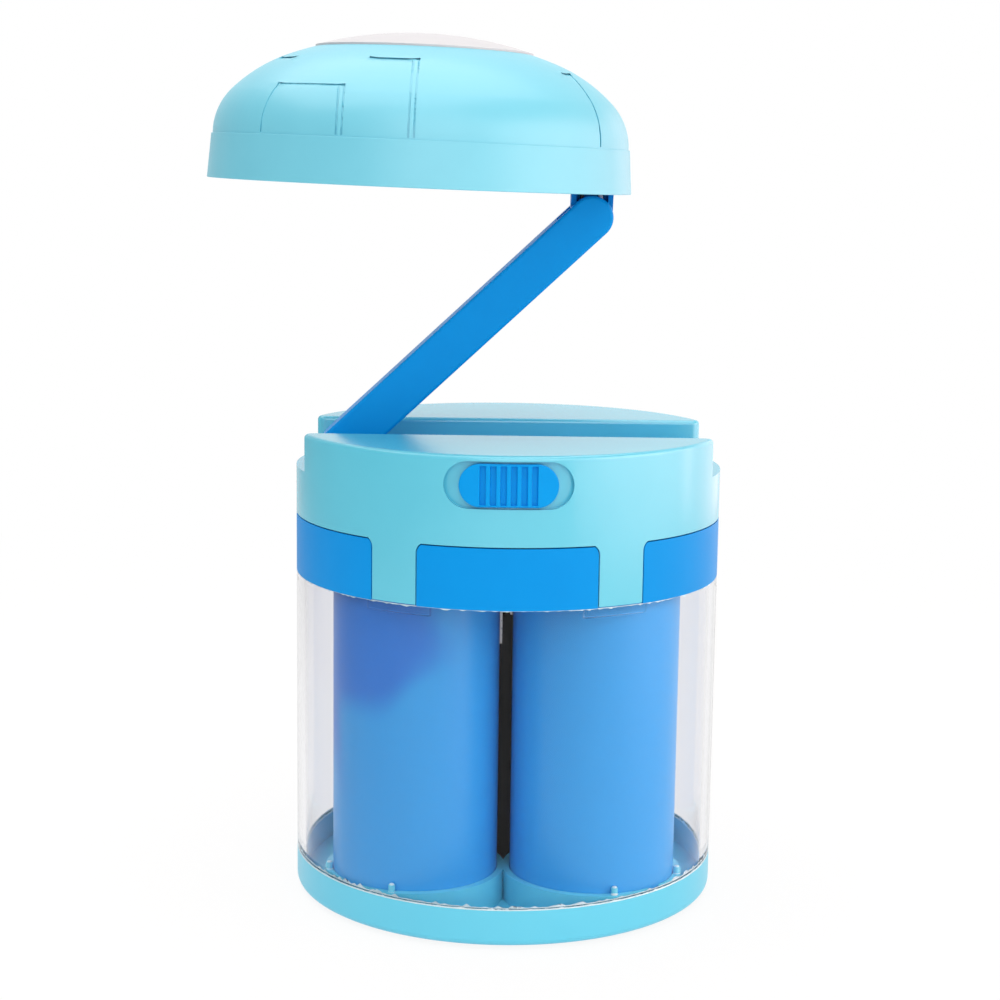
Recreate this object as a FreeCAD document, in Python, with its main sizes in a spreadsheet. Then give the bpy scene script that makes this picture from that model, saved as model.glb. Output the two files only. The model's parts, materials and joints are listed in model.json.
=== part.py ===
# Folding battery lamp: a dome lamp head on a flat arm that folds down into a channel
# across the top of a round base, with four battery tubes standing in a clear drum.
# Millimetres, +Z up, origin at the centre of the base on the surface that it stands on.
import FreeCAD, Part
import math
import os
import re
import Sketcher
from FreeCAD import Placement, Rotation, Vector

# Driving dimensions: name, value, what it is
DIMENSIONS = [
    ("cell_diameter", 34.2, "battery cell across"),
    ("cell_length", 61.5, "battery cell, end to end"),
    ("cell_nub_radius", 4.75, "raised contact on top of a cell"),
    ("cell_nub_height", 1.5, "raised contact on top of a cell"),
    ("cell_play", 0.6, "gap between a cell and its tube"),
    ("tube_wall", 1.2, "battery tube wall"),
    ("tube_gap", 3.0, "gap between neighbouring tubes"),
    ("tube_fit", 0.15, "gap between a tube and what locates it"),
    ("drum_gap", 0.25, "gap between the tubes and the clear drum"),
    ("drum_wall", 2.0, "clear drum wall"),
    ("drum_spare", 6.1, "drum height beyond the length of a cell"),
    ("lip_height", 6.2, "drum lip that goes up behind the band"),
    ("lip_wall", 0.9, "drum lip wall"),
    ("lug_angle", 19.0, "clear lug inside the drum, under each leg"),
    ("lug_depth", 1.2, "clear lug, in from the drum wall"),
    ("lug_drop", 2.4, "clear lug, down from the band"),
    ("core_gap", 1.95, "gap between the tubes and the core duct"),
    ("core_wall", 2.0, "core duct wall"),
    ("strip_width", 0.6, "contact strip across"),
    ("strip_thickness", 0.4, "contact strip through"),
    ("strip_spacing", 2.4, "between the two contact strips"),
    ("strip_long", 23.0, "left contact strip"),
    ("strip_short", 16.0, "right contact strip"),
    ("strip_seat", 0.1, "gap between a strip and the curved duct"),
    ("leaf_width", 8.0, "battery leaf spring across"),
    ("leaf_length", 16.0, "battery leaf spring along its seat"),
    ("leaf_height", 5.0, "battery leaf spring under a cell"),
    ("leaf_thickness", 0.5, "battery leaf spring strip"),
    ("contact_radius", 6.0, "upper contact disc"),
    ("contact_thickness", 0.5, "upper contact disc"),
    ("contact_post", 5.2, "frame post that goes down into each tube"),
    ("spigot_wall", 1.6, "frame spigot that locates each tube"),
    ("pad_radius", 40.0, "rubber foot pad"),
    ("pad_proud", 0.8, "foot pad below the tray"),
    ("pad_recess", 0.6, "foot pad recess in the tray"),
    ("tray_height", 9.2, "tray rim above the standing surface"),
    ("tray_floor", 2.0, "tray floor"),
    ("tray_wall", 1.8, "tray rim wall"),
    ("tray_round", 1.6, "rounded lower edge of the tray"),
    ("collar_wall", 1.6, "tray collar round each tube"),
    ("collar_proud", 0.6, "tray collar above the rim"),
    ("tab_radius", 0.75, "tray tabs beside each tube"),
    ("tab_rise", 2.2, "tray tabs above the rim"),
    ("tab_angle", 32.0, "tray tabs, round the tube from its outermost line"),
    ("band_height", 13.6, "coloured band"),
    ("band_ring", 4.0, "band ring, in from the outside"),
    ("leg_count", 6, "shell legs round the band"),
    ("leg_width", 11.2, "shell leg across"),
    ("leg_depth", 1.0, "shell leg through, at its middle"),
    ("leg_round", 2.1, "rounded shoulder of each band panel"),
    ("seam", 0.3, "gap between the shell and the band"),
    ("shell_height", 20.1, "shell above the band"),
    ("shell_wall", 2.0, "shell wall and top"),
    ("shell_round", 1.0, "rounded upper edge of the shell"),
    ("shell_corner", 2.0, "rounded corner beside each channel mouth"),
    ("channel_half", 15.5, "half the width of the arm channel"),
    ("channel_wall", 1.8, "shell wall beside the channel"),
    ("lip_drop", 8.7, "channel mouth below the shell top"),
    ("frame_plate", 2.5, "frame plate over the tubes"),
    ("frame_floor", 2.0, "frame floor of the channel"),
    ("frame_fit", 0.2, "gap between the frame and the shell"),
    ("frame_rib", 2.0, "ribs under the channel floor"),
    ("tower_wall", 4.0, "hinge tower through"),
    ("tower_half", 3.2, "half the width of a hinge tower"),
    ("tower_cover", 1.3, "hinge tower above the pin"),
    ("screw_inset", 14.0, "shell screws in from the outside"),
    ("boss_radius", 3.0, "screw boss"),
    ("screw_radius", 1.25, "shell screw shank"),
    ("screw_head", 2.5, "shell screw head radius"),
    ("screw_head_height", 1.8, "shell screw head"),
    ("screw_length", 14.0, "shell screw under its head"),
    ("switch_drop", 6.4, "switch centre below the shell top"),
    ("switch_recess_length", 28.1, "switch recess"),
    ("switch_recess_height", 10.3, "switch recess"),
    ("switch_recess_depth", 1.2, "switch recess"),
    ("knob_length", 21.8, "switch knob"),
    ("knob_height", 9.4, "switch knob"),
    ("knob_proud", 0.5, "switch knob above the shell"),
    ("knob_gap", 0.3, "gap under the switch knob"),
    ("knob_travel", 3.0, "switch knob to each side"),
    ("groove_count", 6, "finger grooves in the knob"),
    ("groove_pitch", 2.25, "between finger grooves"),
    ("groove_width", 1.2, "finger groove across"),
    ("groove_depth", 0.6, "finger groove"),
    ("stem_width", 4.0, "knob stem"),
    ("stem_length", 4.2, "knob stem inside the recess floor"),
    ("stem_gap", 0.3, "gap round the knob stem"),
    ("switch_length", 14.0, "switch body"),
    ("switch_height", 7.0, "switch body"),
    ("switch_depth", 5.0, "switch body"),
    ("switch_flange", 22.0, "switch flange, end to end"),
    ("switch_ear", 1.0, "switch flange through"),
    ("switch_seat", 2.0, "pads between the shell and the switch"),
    ("arm_width", 9.8, "arm from edge to edge"),
    ("arm_thickness", 17.0, "arm from front to back"),
    ("arm_wall", 1.6, "arm wall"),
    ("arm_round", 0.8, "rounded arm edges"),
    ("arm_angle", 43.1, "arm above level, standing open"),
    ("pivot_inset", 10.0, "hinge pins in from the outside of the base"),
    ("fold_flush", 0.3, "folded arm below the shell top"),
    ("fold_gap", 0.4, "folded arm above the channel floor"),
    ("pin_radius", 1.5, "hinge pins"),
    ("pin_play", 0.05, "gap between a hinge pin and what turns on it"),
    ("spacer_radius", 2.5, "spacers on the base hinge pin"),
    ("washer_radius", 3.8, "friction washers"),
    ("washer_thickness", 0.5, "friction washers"),
    ("side_play", 0.1, "gap beside a friction washer"),
    ("knuckle_half", 3.8, "half the thickness of the head knuckle"),
    ("knuckle_gap", 1.4, "arm slot behind the head knuckle"),
    ("arm_screw_radius", 0.9, "arm screw shank"),
    ("arm_screw_head", 1.8, "arm screw head radius"),
    ("arm_screw_head_height", 1.2, "arm screw head"),
    ("arm_screw_sink", 1.6, "arm screw counterbore"),
    ("arm_boss", 2.6, "arm screw boss radius"),
    ("arm_screw_low", 20.0, "lower arm screw from the base hinge"),
    ("arm_screw_high", 56.0, "upper arm screw from the base hinge"),
    ("head_tilt", 1.7, "head out of level, standing open"),
    ("head_gap", 0.6, "gap between the arm and the head"),
    ("dome_inset", 1.0, "dome rim in from the outside of the base"),
    ("dome_band", 10.0, "dome rim band"),
    ("dome_taper", 0.8, "dome rim band, in towards its top"),
    ("dome_ledge", 0.3, "ledge above the rim band"),
    ("dome_rise", 24.0, "dome above its ledge"),
    ("dome_shoulder", 14.4, "dome shoulder radius"),
    ("shoulder_angle", 45.0, "where the dome's shoulder meets its flank"),
    ("crest_angle", 70.0, "where the dome's flank meets its crest"),
    ("dome_wall", 2.0, "dome wall"),
    ("cap_radius", 25.0, "top cap"),
    ("cap_seat", 2.5, "ledge under the top cap"),
    ("cap_proud", 0.4, "top cap above the dome"),
    ("cap_thickness", 1.4, "top cap"),
    ("cap_fit", 0.15, "gap round the top cap"),
    ("line_depth", 0.35, "panel lines cut in the dome"),
    ("line_width", 0.45, "panel lines across"),
    ("step_width", 1.2, "between the paired lines at the right of a panel"),
    ("panel_high", 27.2, "top of the high panel above the dome rim"),
    ("high_edge", 0.5, "right edge of the high panel"),
    ("high_width", 10.9, "high panel across its top"),
    ("panel_low", 21.0, "top of the low panel above the dome rim"),
    ("low_edge", -14.8, "right edge of the low panel"),
    ("low_width", 14.7, "low panel across its top"),
    ("low_turn", -44.0, "left edge of the low panel, round from the front"),
    ("panel_side", 26.2, "top of the side panel above the dome rim"),
    ("side_edge", 21.4, "right edge of the side panel"),
    ("side_width", 4.3, "side panel across its top"),
    ("side_turn", 31.0, "side panel, round from the front"),
    ("left_turn", -60.0, "short line at the left, round from the front"),
    ("left_width", 9.0, "short line at the left"),
    ("dome_boss", 3.0, "dome screw boss radius"),
    ("plate_recess", 2.0, "lamp plate above the dome rim"),
    ("plate_thickness", 1.6, "lamp plate"),
    ("plate_fit", 0.2, "gap round the lamp plate"),
    ("dish_radius", 22.0, "reflector dish at its mouth"),
    ("dish_neck", 10.0, "reflector dish at its neck"),
    ("dish_height", 12.0, "reflector dish"),
    ("dish_wall", 1.2, "reflector dish"),
    ("lens_overlap", 2.0, "lens over the lamp plate"),
    ("lens_thickness", 1.2, "lens"),
    ("board_overlap", 2.0, "light board over the dish neck"),
    ("board_thickness", 1.2, "light board"),
    ("chip_count", 6, "light chips"),
    ("chip_size", 3.0, "light chip"),
    ("chip_height", 0.8, "light chip"),
    ("chip_ring", 5.5, "light chips from the middle of the board"),
    ("bracket_half", 4.85, "half the width of the head bracket"),
    ("bracket_wall", 1.2, "head bracket walls"),
    ("bracket_web", 1.6, "head bracket web"),
    ("lens_gap", 0.65, "gap between the lens and the head bracket flange"),
    ("flange_half", 7.0, "half the width of the head bracket flange"),
    ("flange_gap", 0.2, "head bracket flange above the dome rim"),
    ("head_screw_radius", 1.1, "head screw shank"),
    ("head_screw_head", 2.1, "head screw head radius"),
    ("head_screw_head_height", 1.0, "head screw head"),
    ("head_screw_length", 7.0, "head screw under its head"),
    ("plate_screw_ring", 34.0, "lamp plate screws from the middle of the dome"),
    ("plate_screw_count", 3, "lamp plate screws"),
    ("plate_screw_turn", 60.0, "first lamp plate screw, round from the hinge"),
    ("lead_radius", 0.5, "lead wire"),
    ("lead_offset", 2.2, "lead wires from the middle of the bracket"),
    ("lead_slant", 12.0, "lead wires from upright"),
    ("lead_gap", 0.35, "lead wires above the head knuckle"),
]

# Sizes and places that follow from the driving dimensions
DERIVED = {
    "cell_radius": "cell_diameter / 2",
    "tube_bore": "cell_radius + cell_play",
    "tube_radius": "tube_bore + tube_wall",
    "tube_socket": "tube_radius + tube_fit",
    "tab_reach": "tube_socket + tab_radius",
    "tube_offset": "tube_radius + tube_gap / 2",
    "tube_reach": "tube_offset * sqrt(2) + tube_radius",
    "drum_bore": "tube_reach + drum_gap",
    "body_radius": "drum_bore + drum_wall",
    "core_radius": "tube_offset * sqrt(2) - tube_radius - core_gap",
    "floor_top": "pad_proud + tray_floor",
    "band_bottom": "tray_height + cell_length + drum_spare",
    "frame_level": "band_bottom + lip_height",
    "band_top": "band_bottom + band_height",
    "shell_bottom": "band_top + seam",
    "shell_top": "band_top + shell_height",
    "shell_bore": "body_radius - shell_wall",
    "leg_plane": "body_radius - leg_depth",
    "band_bore": "body_radius - band_ring",
    "contact_level": "frame_level - contact_post",
    "cell_top": "contact_level - contact_thickness",
    "cell_bottom": "cell_top - cell_length",
    "leaf_level": "cell_bottom - leaf_height",
    "pin_bore": "pin_radius + pin_play",
    "arm_half": "arm_width / 2",
    "arm_face": "arm_thickness / 2",
    "pivot_offset": "body_radius - pivot_inset",
    "pivot_level": "shell_top - arm_half - fold_flush",
    "pivot_drop": "arm_half + head_gap",
    "arm_length": "2 * pivot_offset",
    "channel_floor": "pivot_level - arm_half - fold_gap",
    "channel_outer": "channel_half + channel_wall",
    "corner_x": "sqrt((body_radius - shell_corner)^2 - corner_y^2)",
    "corner_y": "channel_half + shell_corner",
    "tower_inner": "channel_outer + frame_fit",
    "tower_outer": "tower_inner + tower_wall",
    "frame_reach": "shell_bore - frame_fit",
    "plate_top": "frame_level + frame_plate",
    "screw_place": "body_radius - screw_inset",
    "screw_tip": "frame_level + screw_length",
    "switch_level": "shell_top - switch_drop",
    "recess_floor": "body_radius - switch_recess_depth",
    "knob_back": "recess_floor + knob_gap",
    "knob_face": "body_radius + knob_proud",
    "switch_face": "shell_bore - switch_seat",
    "cheek_inner": "knuckle_half + washer_thickness + 2 * side_play",
    "slot_depth": "bracket_half + knuckle_gap",
    "dome_radius": "body_radius - dome_inset",
    "ledge_radius": "dome_radius - dome_taper",
    "crown_radius": "ledge_radius - dome_ledge",
    "dome_bore": "crown_radius - dome_wall",
    "shoulder_cos": "cos(shoulder_angle * 1 deg)",
    "shoulder_sin": "sin(shoulder_angle * 1 deg)",
    "crest_cos": "cos(crest_angle * 1 deg)",
    "crest_sin": "sin(crest_angle * 1 deg)",
    "crest_run": "crown_radius - dome_shoulder * (1 - shoulder_cos)",
    "crest_lift": "dome_rise - dome_shoulder * shoulder_sin",
    "crest_share": "(crest_sin - shoulder_sin) * crest_cos - (1 - crest_sin) * (shoulder_cos - crest_cos)",
    "flank_radius": "(crest_lift * crest_cos - (1 - crest_sin) * crest_run) / crest_share",
    "crest_part": "(crest_sin - shoulder_sin) * crest_run - (shoulder_cos - crest_cos) * crest_lift",
    "crest_radius": "crest_part / crest_share",
    "shoulder_x": "crown_radius - dome_shoulder",
    "flank_x": "shoulder_x + (dome_shoulder - flank_radius) * shoulder_cos",
    "flank_z": "(dome_shoulder - flank_radius) * shoulder_sin",
    "crest_z": "dome_rise - crest_radius",
    "high_inner": "high_edge - step_width",
    "low_inner": "low_edge - step_width",
    "rim_bore": "dome_bore + dome_ledge",
    "plate_level": "plate_recess",
    "plate_back": "plate_level + plate_thickness",
    "plate_radius": "rim_bore - plate_fit",
    "board_level": "plate_back + dish_height",
    "dish_slope": "(dish_radius - dish_neck) / (plate_thickness + dish_height)",
    "dish_back": "dish_radius + dish_wall - dish_slope * plate_thickness",
    "lens_radius": "dish_radius + lens_overlap",
    "flange_length": "pivot_offset - bracket_half - lens_radius - lens_gap",
    "flange_screw": "pivot_offset - bracket_half - flange_length / 2",
    "lead_inner": "lead_offset - lead_radius",
    "lead_drop": "pivot_drop + flange_gap - sqrt(washer_radius^2 - lead_inner^2) - lead_gap",
    "lead_length": "lead_drop / cos(lead_slant * 1 deg)",
    "lead_reach": "lead_drop + lead_radius * sin(lead_slant * 1 deg)",
    "hinge_x": "-pivot_offset + arm_length * cos(arm_angle * 1 deg)",
    "hinge_z": "pivot_level + arm_length * sin(arm_angle * 1 deg)",
    "head_x": "hinge_x - pivot_offset * cos(head_tilt * 1 deg) + pivot_drop * sin(head_tilt * 1 deg)",
    "head_z": "hinge_z + pivot_offset * sin(head_tilt * 1 deg) + pivot_drop * cos(head_tilt * 1 deg)",
}

NAMES = {name for name, number, note in DIMENSIONS}

doc = FreeCAD.newDocument("folding_lamp")
sizes = doc.addObject("Spreadsheet::Sheet", "sizes")
for row, (name, number, note) in enumerate(DIMENSIONS, start=1):
    sizes.set("A%d" % row, name)
    sizes.set("B%d" % row, str(number))
    sizes.set("C%d" % row, note)
    sizes.setAlias("B%d" % row, name)
doc.recompute()


def expression(text):
    """Turn a formula in size names into an expression on the sheet."""
    def swap(match):
        word = match.group(0)
        if word in DERIVED:
            return "(" + expression(DERIVED[word]) + ")"
        return "sizes." + word if word in NAMES else word
    return re.sub(r"[a-z][a-z_]*", swap, str(text))


def value(text):
    """The number that a formula gives at the present sizes."""
    return float(sizes.evalExpression(expression(text)))


def bind(item, **formulas):
    """Tie properties of an object to formulas."""
    for name, text in formulas.items():
        item.setExpression(name, expression(text))
    return item


def put(item, x="0", y="0", z="0"):
    """Tie the place of an object to formulas."""
    for letter, text in zip("xyz", (x, y, z)):
        item.setExpression("Placement.Base." + letter, expression(text))
    return item


# Limits along an axis, low then high
def span(half):
    return ("-(%s)" % half, half)


def about(middle, half):
    return ("%s - (%s)" % (middle, half), "%s + (%s)" % (middle, half))


def sides(low, high):
    return {"front": ("-(%s)" % high, "-(%s)" % low), "rear": (low, high)}


def length(limits):
    return "(%s) - (%s)" % (limits[1], limits[0])


ACROSS = span("2 * body_radius")
TALL = ("0", "2 * shell_top")


# Solids from primitives
def upright(name, radius, levels, x="0", y="0"):
    """A cylinder that stands between two levels."""
    item = doc.addObject("Part::Cylinder", name)
    return put(bind(item, Radius=radius, Height=length(levels)), x, y, levels[0])


def crosswise(name, radius, limits, x="0", z="0"):
    """A cylinder that runs from front to back between two limits."""
    item = doc.addObject("Part::Cylinder", name)
    item.Placement = Placement(Vector(), Rotation(Vector(1, 0, 0), -90))
    return put(bind(item, Radius=radius, Height=length(limits)), x, limits[0], z)


def block(name, x, y, z):
    """A box between limits along each axis."""
    item = doc.addObject("Part::Box", name)
    bind(item, Length=length(x), Width=length(y), Height=length(z))
    return put(item, x[0], y[0], z[0])


def join(name, *items):
    """One solid from several that meet."""
    item = doc.addObject("Part::MultiFuse", name)
    item.Shapes = list(items)
    item.Refine = True
    return item


def overlap(name, *items):
    """What several solids share."""
    item = doc.addObject("Part::MultiCommon", name)
    item.Shapes = list(items)
    item.Refine = True
    return item


def group(name, *items):
    """Separate solids kept together."""
    item = doc.addObject("Part::Compound", name)
    item.Links = list(items)
    return item


def cut(name, base, *tools):
    """A solid less one or more others."""
    item = doc.addObject("Part::Cut", name)
    item.Base = base
    item.Tool = tools[0] if len(tools) == 1 else join(name + "_tools", *tools)
    item.Refine = True
    return item


def ring(name, outer, inner, levels, x="0", y="0"):
    """A tube that stands between two levels."""
    bore = upright(name + "_inner", inner, levels, x, y)
    return cut(name, upright(name + "_outer", outer, levels, x, y), bore)


def sleeve(name, outer, inner, limits, x="0", z="0"):
    """A tube that runs from front to back."""
    bore = crosswise(name + "_inner", inner, limits, x, z)
    return cut(name, crosswise(name + "_outer", outer, limits, x, z), bore)


def pill(name, wide, high, limits, z):
    """A round-ended bar that lies across, through from front to back."""
    radius = "(%s) / 2" % high
    half = "(%s) / 2 - %s" % (wide, radius)
    left, right = span(half)
    return join(
        name,
        block(name + "_bar", (left, right), limits, about(z, radius)),
        crosswise(name + "_left", radius, limits, left, z),
        crosswise(name + "_right", radius, limits, right, z),
    )


def rounded(name, base, radius, chosen):
    """Round the chosen edges of a solid."""
    doc.recompute()
    item = doc.addObject("Part::Fillet", name)
    item.Base = base
    size = value(radius)
    edges = enumerate(base.Shape.Edges, start=1)
    item.Edges = [(index, size, size) for index, edge in edges if chosen(edge)]
    return item


def turned_by(item, degrees):
    """Turn an object about the vertical axis."""
    item.Placement = Placement(item.Placement.Base, Rotation(Vector(0, 0, 1), 1))
    item.setExpression("Placement.Rotation.Angle", expression(degrees))
    return item


def level_edge(edge):
    return near(edge.BoundBox.ZMin, edge.BoundBox.ZMax)


def near(first, second, slack=1e-4):
    return abs(first - second) < slack


# Sketched bodies
def sketch_on(body, name):
    """A sketch on a body's own upright plane: across, then up."""
    sketch = body.newObject("Sketcher::SketchObject", name)
    plane = next(item for item in body.Origin.OriginFeatures if item.Role == "XZ_Plane")
    sketch.AttachmentSupport = [(plane, "")]
    sketch.MapMode = "FlatFace"
    return sketch


def hold(sketch, point, across=None, up=None):
    """Hold a sketch point at formulas' distances from the origin, or on an axis at 0."""
    geometry, end = point
    for kind, text, axis in (("DistanceX", across, -2), ("DistanceY", up, -1)):
        if text == "0":
            sketch.addConstraint(Sketcher.Constraint("PointOnObject", geometry, end, axis))
        elif text is not None:
            rule = sketch.addConstraint(Sketcher.Constraint(kind, -1, 1, geometry, end, value(text)))
            label = "%s_%d_%d" % (kind.lower(), geometry, end)
            sketch.renameConstraint(rule, label)
            sketch.setExpression("Constraints." + label, expression(text))


def line(sketch, start, end):
    places = [Vector(value(across), value(up), 0) for across, up in (start, end)]
    sketch.addGeometry(Part.LineSegment(*places), False)


def arc(sketch, centre, radius, start, end):
    """An arc that runs anticlockwise between two angles in degrees."""
    circle = Part.Circle(Vector(value(centre[0]), value(centre[1]), 0), Vector(0, 0, 1), value(radius))
    turns = [math.radians(value(turn)) for turn in (start, end)]
    sketch.addGeometry(Part.ArcOfCircle(circle, *turns), False)


def meet(sketch, first, first_end, second, second_end):
    sketch.addConstraint(Sketcher.Constraint("Coincident", first, first_end, second, second_end))


def outline(sketch, points):
    """A closed outline of straight lines."""
    count = len(points)
    for index, point in enumerate(points):
        line(sketch, point, points[(index + 1) % count])
    for index in range(count):
        meet(sketch, index, 2, (index + 1) % count, 1)
    for index, point in enumerate(points):
        hold(sketch, (index, 1), *point)


def slot_outline(sketch, start, end, radius):
    """A round-ended outline along the sketch's first axis."""
    low, high = span(radius)
    arc(sketch, (start, "0"), radius, "90", "270")
    line(sketch, (start, low), (end, low))
    arc(sketch, (end, "0"), radius, "-90", "90")
    line(sketch, (end, high), (start, high))
    for index in range(4):
        sketch.addConstraint(Sketcher.Constraint("Tangent", index, 2, (index + 1) % 4, 1))
    hold(sketch, (0, 3), start, "0")
    hold(sketch, (2, 3), end, "0")
    rule = sketch.addConstraint(Sketcher.Constraint("Radius", 0, value(radius)))
    sketch.renameConstraint(rule, "end_radius")
    sketch.setExpression("Constraints.end_radius", expression(radius))


def body_with_sketch(name):
    body = doc.addObject("PartDesign::Body", name)
    return body, sketch_on(body, name + "_outline")


def turn(body, sketch):
    """Turn a sketch full round the vertical axis."""
    item = body.newObject("PartDesign::Revolution", body.Name + "_turn")
    item.Profile = sketch
    item.ReferenceAxis = (sketch, ["V_Axis"])
    item.Angle = 360
    return item


def turned(name, points):
    """A body turned from an outline of radius and height."""
    body, sketch = body_with_sketch(name)
    outline(sketch, points)
    turn(body, sketch)
    return body


def body_round(body, feature, radius, chosen):
    """Round the chosen edges of a body's feature."""
    doc.recompute()
    edges = enumerate(feature.Shape.Edges, start=1)
    item = body.newObject("PartDesign::Fillet", body.Name + "_round")
    item.Base = (feature, ["Edge%d" % index for index, edge in edges if chosen(edge)])
    return bind(item, Radius=radius)


# Finished pieces, each written to a file of its own
pieces = []


def finish(item, label, frame="base"):
    """Name a piece and carry it to where its body stands."""
    item.Label = label
    tilt = {"arm": "-arm_angle", "head": "head_tilt"}.get(frame)
    if tilt:
        item.Placement = Placement(Vector(), Rotation(Vector(0, 1, 0), 1))
        item.setExpression("Placement.Rotation.Angle", expression(tilt))
    if frame == "arm":
        put(item, "-pivot_offset", "0", "pivot_level")
    if frame == "head":
        put(item, "head_x", "0", "head_z")
    pieces.append(item)


TUBE_PLACES = {
    "front_left": ("-tube_offset", "-tube_offset"),
    "front_right": ("tube_offset", "-tube_offset"),
    "rear_left": ("-tube_offset", "tube_offset"),
    "rear_right": ("tube_offset", "tube_offset"),
}
TUBE_TURNS = {"front_left": 225, "front_right": 315, "rear_left": 135, "rear_right": 45}
SCREW_PLACES = {"front": "-screw_place", "rear": "screw_place"}


# Base tray, with a collar round each tube and a seat under each leaf spring; the foot pad
def make_tray():
    dish = turned("tray_dish", [
        ("0", "pad_proud"),
        ("body_radius", "pad_proud"),
        ("body_radius", "tray_height"),
        ("body_radius - tray_wall", "tray_height"),
        ("body_radius - tray_wall", "floor_top"),
        ("0", "floor_top"),
    ])
    rim, foot = value("body_radius"), value("pad_proud")
    body_round(dish, dish.Tip, "tray_round", lambda edge: level_edge(edge)
               and near(edge.BoundBox.ZMax, foot) and near(edge.BoundBox.XMax, rim))
    levels = ("floor_top", "tray_height + collar_proud")
    collars = []
    bores = []
    seats = []
    tabs = []
    tab_levels = ("floor_top", "tray_height + tab_rise")
    for place, (x, y) in TUBE_PLACES.items():
        for side, sign in (("right", "-"), ("left", "+")):
            turn = "(%d %s tab_angle) * 1 deg" % (TUBE_TURNS[place], sign)
            at = ("%s + tab_reach * cos(%s)" % (x, turn), "%s + tab_reach * sin(%s)" % (y, turn))
            tabs.append(upright("tab_%s_%s" % (place, side), "tab_radius", tab_levels, *at))
        collars.append(upright("collar_" + place, "tube_socket + collar_wall", levels, x, y))
        bores.append(upright("collar_bore_" + place, "tube_socket", levels, x, y))
        seats.append(block("leaf_seat_" + place, about(x, "leaf_length / 2"), about(y, "leaf_width / 2"),
                           ("floor_top - tray_floor / 2", "leaf_level")))
    limit = upright("collar_limit", "drum_bore - tube_fit", levels)
    rings = overlap("collar_rings", join("collar_blanks", *collars), limit)
    core = upright("core_socket", "core_radius + tube_fit", levels)
    walls = cut("collar_walls", rings, core, *bores)
    recess = upright("pad_pocket", "pad_radius + tube_fit", ("pad_proud", "pad_proud + pad_recess"))
    finish(cut("tray", join("tray_blank", dish, walls, *seats, *tabs), recess), "base_tray")
    finish(upright("pad", "pad_radius", ("0", "pad_proud + pad_recess")), "foot_pad")


# Clear drum, with its lip and the lugs under the shell's legs
def make_drum():
    wall = turned("drum_tube", [
        ("drum_bore", "tray_height"),
        ("body_radius", "tray_height"),
        ("body_radius", "band_bottom"),
        ("drum_bore + lip_wall", "band_bottom"),
        ("drum_bore + lip_wall", "frame_level - seam"),
        ("drum_bore", "frame_level - seam"),
    ])
    lugs = []
    levels = ("band_bottom - lug_drop", "band_bottom")
    for index in range(int(value("leg_count"))):
        lug = upright("lug_blank_%d" % index, "drum_bore + lip_wall / 2", levels)
        bind(lug, Angle="lug_angle")
        lugs.append(turned_by(lug, "360 / leg_count * %g - 90 - lug_angle / 2" % (index + 0.5)))
    clear = [upright("lug_hollow", "drum_bore - lug_depth", TALL)]
    for place, (x, y) in TUBE_PLACES.items():
        clear.append(upright("lug_clear_" + place, "tube_radius + drum_gap", TALL, x, y))
    finish(join("drum", wall, cut("drum_lugs", join("lug_blanks", *lugs), *clear)), "clear_drum")


# Battery tubes, cells and contacts
def make_batteries():
    cells = []
    leaves = []
    discs = []
    can = ("cell_bottom", "cell_top - cell_nub_height")
    for place, (x, y) in TUBE_PLACES.items():
        tube = ring("tube_" + place, "tube_radius", "tube_bore", ("floor_top", "frame_level"), x, y)
        finish(tube, "battery_tube_" + place)
        cells.append(join(
            "cell_" + place,
            upright("cell_can_" + place, "cell_radius", can, x, y),
            upright("cell_nub_" + place, "cell_nub_radius", ("cell_bottom", "cell_top"), x, y),
        ))
        leaves.append(put(make_leaf(place), x, y, "leaf_level"))
        discs.append(upright("disc_" + place, "contact_radius", ("cell_top", "contact_level"), x, y))
    finish(group("cells", *cells), "battery_cells")
    finish(group("leaves", *leaves), "battery_leaf_springs")
    finish(group("discs", *discs), "upper_contacts")


# A leaf spring: a strip bent up from its seat to a flat crown
def make_leaf(place):
    body, sketch = body_with_sketch("leaf_" + place)
    foot, crest = "leaf_length / 2", "leaf_length / 4"
    outline(sketch, [
        ("-(%s)" % foot, "0"),
        ("2 * leaf_thickness - " + foot, "0"),
        ("leaf_thickness / 2 - " + crest, "leaf_height - leaf_thickness"),
        (crest + " - leaf_thickness / 2", "leaf_height - leaf_thickness"),
        (foot + " - 2 * leaf_thickness", "0"),
        (foot, "0"),
        (crest, "leaf_height"),
        ("-(%s)" % crest, "leaf_height"),
    ])
    pad = body.newObject("PartDesign::Pad", "leaf_strip_" + place)
    pad.Profile = sketch
    pad.Midplane = True
    bind(pad, Length="leaf_width - 2 * leaf_thickness")
    return body


# Core duct between the tubes, with two contact strips on its front
def make_core():
    duct = ring("duct", "core_radius", "core_radius - core_wall", ("floor_top", "frame_level"))
    finish(duct, "core_duct")
    strips = []
    for middle, reach in (("-strip_spacing / 2", "strip_long"), ("strip_spacing / 2", "strip_short")):
        strips.append(block(
            reach,
            about(middle, "strip_width / 2"),
            sides("core_radius + strip_seat", "core_radius + strip_seat + strip_thickness")["front"],
            ("frame_level - " + reach, "frame_level"),
        ))
    finish(group("strips", *strips), "contact_strips")


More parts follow.
